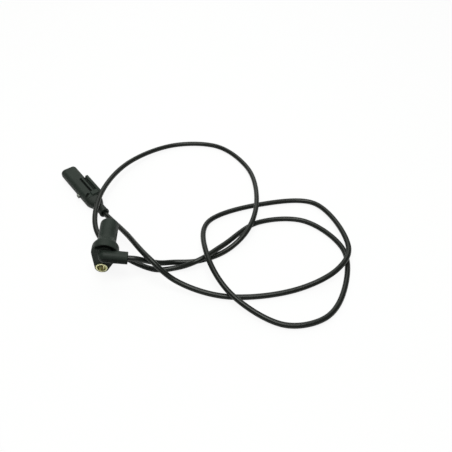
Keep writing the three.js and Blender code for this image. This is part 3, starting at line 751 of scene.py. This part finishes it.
def applied(piece):
    """Puts what the modifiers make into the piece's own mesh, smooth shaded, and takes them off."""
    graph = bpy.context.evaluated_depsgraph_get()
    piece.data = bpy.data.meshes.new_from_object(piece.evaluated_get(graph))
    piece.modifiers.clear()
    faces = piece.data.polygons
    faces.foreach_set("use_smooth", np.ones(len(faces), dtype=bool))


def softened(name, node, voxel, rounds):
    """A remeshed and smoothed copy of a CAD node. The smoothing leaves a fillet of about a voxel."""
    source = nodes[node].data.copy()
    copy = bpy.data.objects.new(name, source)
    bpy.context.scene.collection.objects.link(copy)
    outward(source, WELD_DISTANCE)
    remesh = copy.modifiers.new("remesh", "REMESH")
    remesh.mode = "VOXEL"
    remesh.voxel_size = voxel * MM
    remesh.use_smooth_shade = True
    smooth = copy.modifiers.new("smooth", "SMOOTH")
    smooth.factor = SMOOTH_PULL
    smooth.iterations = rounds
    applied(copy)
    return copy


def melted(piece, weigh, rounds):
    """Smooths further where weigh, a function of the points in millimetres, gives a weight from 0 to 1."""
    places = np.empty(len(piece.data.vertices) * 3, dtype=np.float32)
    piece.data.vertices.foreach_get("co", places)
    levels = np.round(weigh(places.reshape(-1, 3) / MM) * WEIGHT_LEVELS)
    group = piece.vertex_groups.new(name="melt")
    for level in range(1, WEIGHT_LEVELS + 1):
        group.add(np.flatnonzero(levels == level).tolist(), level / WEIGHT_LEVELS, "REPLACE")
    broad = piece.modifiers.new("broad", "SMOOTH")
    broad.factor = SMOOTH_PULL
    broad.iterations = rounds
    broad.vertex_group = "melt"
    applied(piece)


def smoothstep(t):
    """3 t squared minus 2 t cubed, held between 0 and 1."""
    t = np.clip(t, 0, 1)
    return t * t * (3 - 2 * t)


print("helpers:", ", ".join(f.__name__ for f in (applied, softened, melted, smoothstep)))

# %% [markdown]
# ## Head, plug shell and lock
# On the real head the collar flares softly into the nose, with no line between them. Its solid has a
# cone there, so further smoothing, weighted to that stretch and kept off the ear, melts the two edges
# away. The plug shell and the small lock keep crisper corners, so their voxels are finer.

# %% Head, plug shell and lock
HEAD_VOXEL = 0.34
HEAD_ROUNDS = 7
FLARE_ROUNDS = 60
FLANGE_THICKNESS = 8.0
FLARE_LENGTH = 9.2
FLARE_REACH = 2.5
FLARE_INSIDE = 7.8
FLARE_UNDERSIDE = 0.9
PLUG_VOXEL = 0.3
PLUG_ROUNDS = 2
LOCK_VOXEL = 0.12
LOCK_ROUNDS = 3


def flare_weight(points):
    """Weight of the flare between collar and nose: a smooth bump along the barrel, outside only."""
    offset = points - HEAD_ORIGIN
    radius = np.hypot(offset[:, 0], offset[:, 2])
    start = (offset[:, 1] - (FLANGE_THICKNESS - FLARE_REACH)) / FLARE_REACH
    end = ((FLANGE_THICKNESS + FLARE_LENGTH + FLARE_REACH) - offset[:, 1]) / FLARE_REACH
    bump = smoothstep(start) * smoothstep(end)
    return bump * (radius > FLARE_INSIDE) * (offset[:, 2] > -radius * FLARE_UNDERSIDE)


sensor_body = softened("sensor_body", "sensor_housing", HEAD_VOXEL, HEAD_ROUNDS)
melted(sensor_body, flare_weight, FLARE_ROUNDS)
plug_shell = softened("plug_shell", "connector_housing", PLUG_VOXEL, PLUG_ROUNDS)
lock_tab = softened("lock_tab", "terminal_lock", LOCK_VOXEL, LOCK_ROUNDS)
finished(sensor_body, "black_plastic", "sensor_housing")
finished(plug_shell, "black_plastic", "connector_housing")
finished(lock_tab, "pale_lock", "terminal_lock")
for body in (sensor_body, plug_shell, lock_tab):
    print(body.name, "faces:", len(body.data.polygons))

# %% [markdown]
# ## Bushing
# The bushing is turned from brass. Its section is a closed line of radius and depth with the edges
# broken, carried once round the bolt's axis, as a lathe would leave it. The painted shade in its bore is in
# its finish.

# %% Bushing
BUSHING_RADIUS = 5.65
BORE_RADIUS = 4.15
EDGE_BREAK = 0.4
EDGE_POINTS = 7
BUSHING_SIDES = 96


def bushing_section():
    """A rectangle of wall and length whose four corners are quarter rounds of the broken edge."""
    rear, front = bushing_low[1], bushing_high[1]
    quarter = np.linspace(0, np.pi / 2, EDGE_POINTS)
    corners = [
        (BUSHING_RADIUS - EDGE_BREAK, rear + EDGE_BREAK, -np.pi / 2),
        (BUSHING_RADIUS - EDGE_BREAK, front - EDGE_BREAK, 0.0),
        (BORE_RADIUS + EDGE_BREAK, front - EDGE_BREAK, np.pi / 2),
        (BORE_RADIUS + EDGE_BREAK, rear + EDGE_BREAK, np.pi),
    ]
    lines = []
    for radius, depth, start in corners:
        bend = quarter + start
        lines.append(np.column_stack([radius + EDGE_BREAK * np.cos(bend), depth + EDGE_BREAK * np.sin(bend)]))
    return np.vstack(lines)


def turned_ring(name, section, sides):
    """A closed section (radius, depth) carried round an axis along Y, as one grid that wraps both ways."""
    count = len(section)
    turn = np.linspace(0, 2 * np.pi, sides, endpoint=False)
    radius, depth = section[:, 0][:, None], section[:, 1][:, None]
    points = np.stack([
        bushing_middle[0] + radius * np.cos(turn),
        np.broadcast_to(depth, (count, sides)),
        bushing_middle[2] + radius * np.sin(turn),
    ], -1)
    i, j = np.meshgrid(np.arange(count), np.arange(sides), indexing="ij")
    down, side = (i + 1) % count, (j + 1) % sides
    quads = np.stack([i * sides + j, i * sides + side, down * sides + side, down * sides + j], -1)
    ring = mesh_object(name, points.reshape(-1, 3) * MM, quads.reshape(-1, 4))
    outward(ring.data)
    return ring


bushing = turned_ring("bushing", bushing_section(), BUSHING_SIDES)
finished(bushing, "brass", "mounting_bushing")
print("bushing faces:", len(bushing.data.polygons))

# %% [markdown]
# ## Boot
# The boot is soft rubber. It starts as the plug's flat oval and shrinks to a round neck with a rolled
# lip, so its rings change from ovals to circles. Width and height follow their own curves. The last
# rings turn back inside the neck, so that the cord comes out of a real hole.

# %% Boot
PLUG_WIDTH = 18.0
PLUG_LENGTH = 59.0
BOOT_START = PLUG_LENGTH + 0.3
NECK_START = BOOT_END - NECK_LENGTH
NECK_RADIUS = 5.25
NECK_WAIST = 0.35
LIP_LENGTH = 2.2
LIP_START = BOOT_END - LIP_LENGTH
LIP_SLOPE = 0.6
LIP_RADIUS = 1.0
DOME_FULLNESS = 1.7
DOME_SHOULDER = 1.1
OVAL_POWER = 3.0
CIRCLE_POWER = 2.0
CORD_CLEARANCE = 0.05
MOUTH_DEPTH = 1.0
DOME_RINGS = 40
NECK_RINGS = 24
BOOT_SIDES = 64


def boot_outside(turn):
    """Rings of superellipses along the boot, whose power falls from 3 to 2 as the oval turns round."""
    back = np.concatenate([
        np.linspace(BOOT_START, NECK_START, DOME_RINGS),
        np.linspace(NECK_START, LIP_START, NECK_RINGS)[1:],
        np.linspace(LIP_START, BOOT_END, NECK_RINGS)[1:],
    ])
    dome = np.clip((back - BOOT_START) / (NECK_START - BOOT_START), 0, 1)
    toward_neck = smoothstep(dome)
    narrowing = (1 - dome**DOME_FULLNESS) ** DOME_SHOULDER
    half_width = NECK_RADIUS + (PLUG_WIDTH / 2 - NECK_RADIUS) * narrowing
    half_height = PLUG_HEIGHT / 2 + (NECK_RADIUS - PLUG_HEIGHT / 2) * toward_neck
    waist = NECK_WAIST * toward_neck * (1 - smoothstep((back - LIP_START) / LIP_SLOPE))
    edge = np.clip((back - (BOOT_END - LIP_RADIUS)) / LIP_RADIUS, 0, 1)
    rounded = LIP_RADIUS * (1 - np.sqrt(1 - edge**2)) + waist
    power = (OVAL_POWER + (CIRCLE_POWER - OVAL_POWER) * toward_neck)[:, None]
    scale = (np.abs(np.cos(turn)) ** power + np.abs(np.sin(turn)) ** power) ** (-1 / power)
    x = (half_width - rounded)[:, None] * scale * np.cos(turn)
    z = PLUG_HEIGHT / 2 + (half_height - rounded)[:, None] * scale * np.sin(turn)
    return plug_place(x, back[:, None], z)


def boot_inside(turn):
    """Three circles round the cord, from the mouth of the neck inwards."""
    back = np.array([BOOT_END, BOOT_END - MOUTH_DEPTH, BOOT_END - BOOT_GRIP])[:, None]
    radius = CORD_RADIUS + CORD_CLEARANCE
    return plug_place(radius * np.cos(turn), back, PLUG_HEIGHT / 2 + radius * np.sin(turn))


boot_turn = np.linspace(0, 2 * np.pi, BOOT_SIDES, endpoint=False)[None, :]
boot = closed_grid("boot", np.vstack([boot_outside(boot_turn), boot_inside(boot_turn)]) * MM)
finished(boot, "boot_rubber", "strain_relief_boot")
print("boot faces:", len(boot.data.polygons))

# %% [markdown]
# ## The sheath's start
# The point on the outlet's axis where the cord's sheath starts is worked out in metres, and nothing is done
# with it.

tuple(on_outlet(SHEATH_START) * MM)

# %% [markdown]
# ## End
# A finished surface should stay within a few hundredths of the solids' own size.

# %% End
print("scene finished")
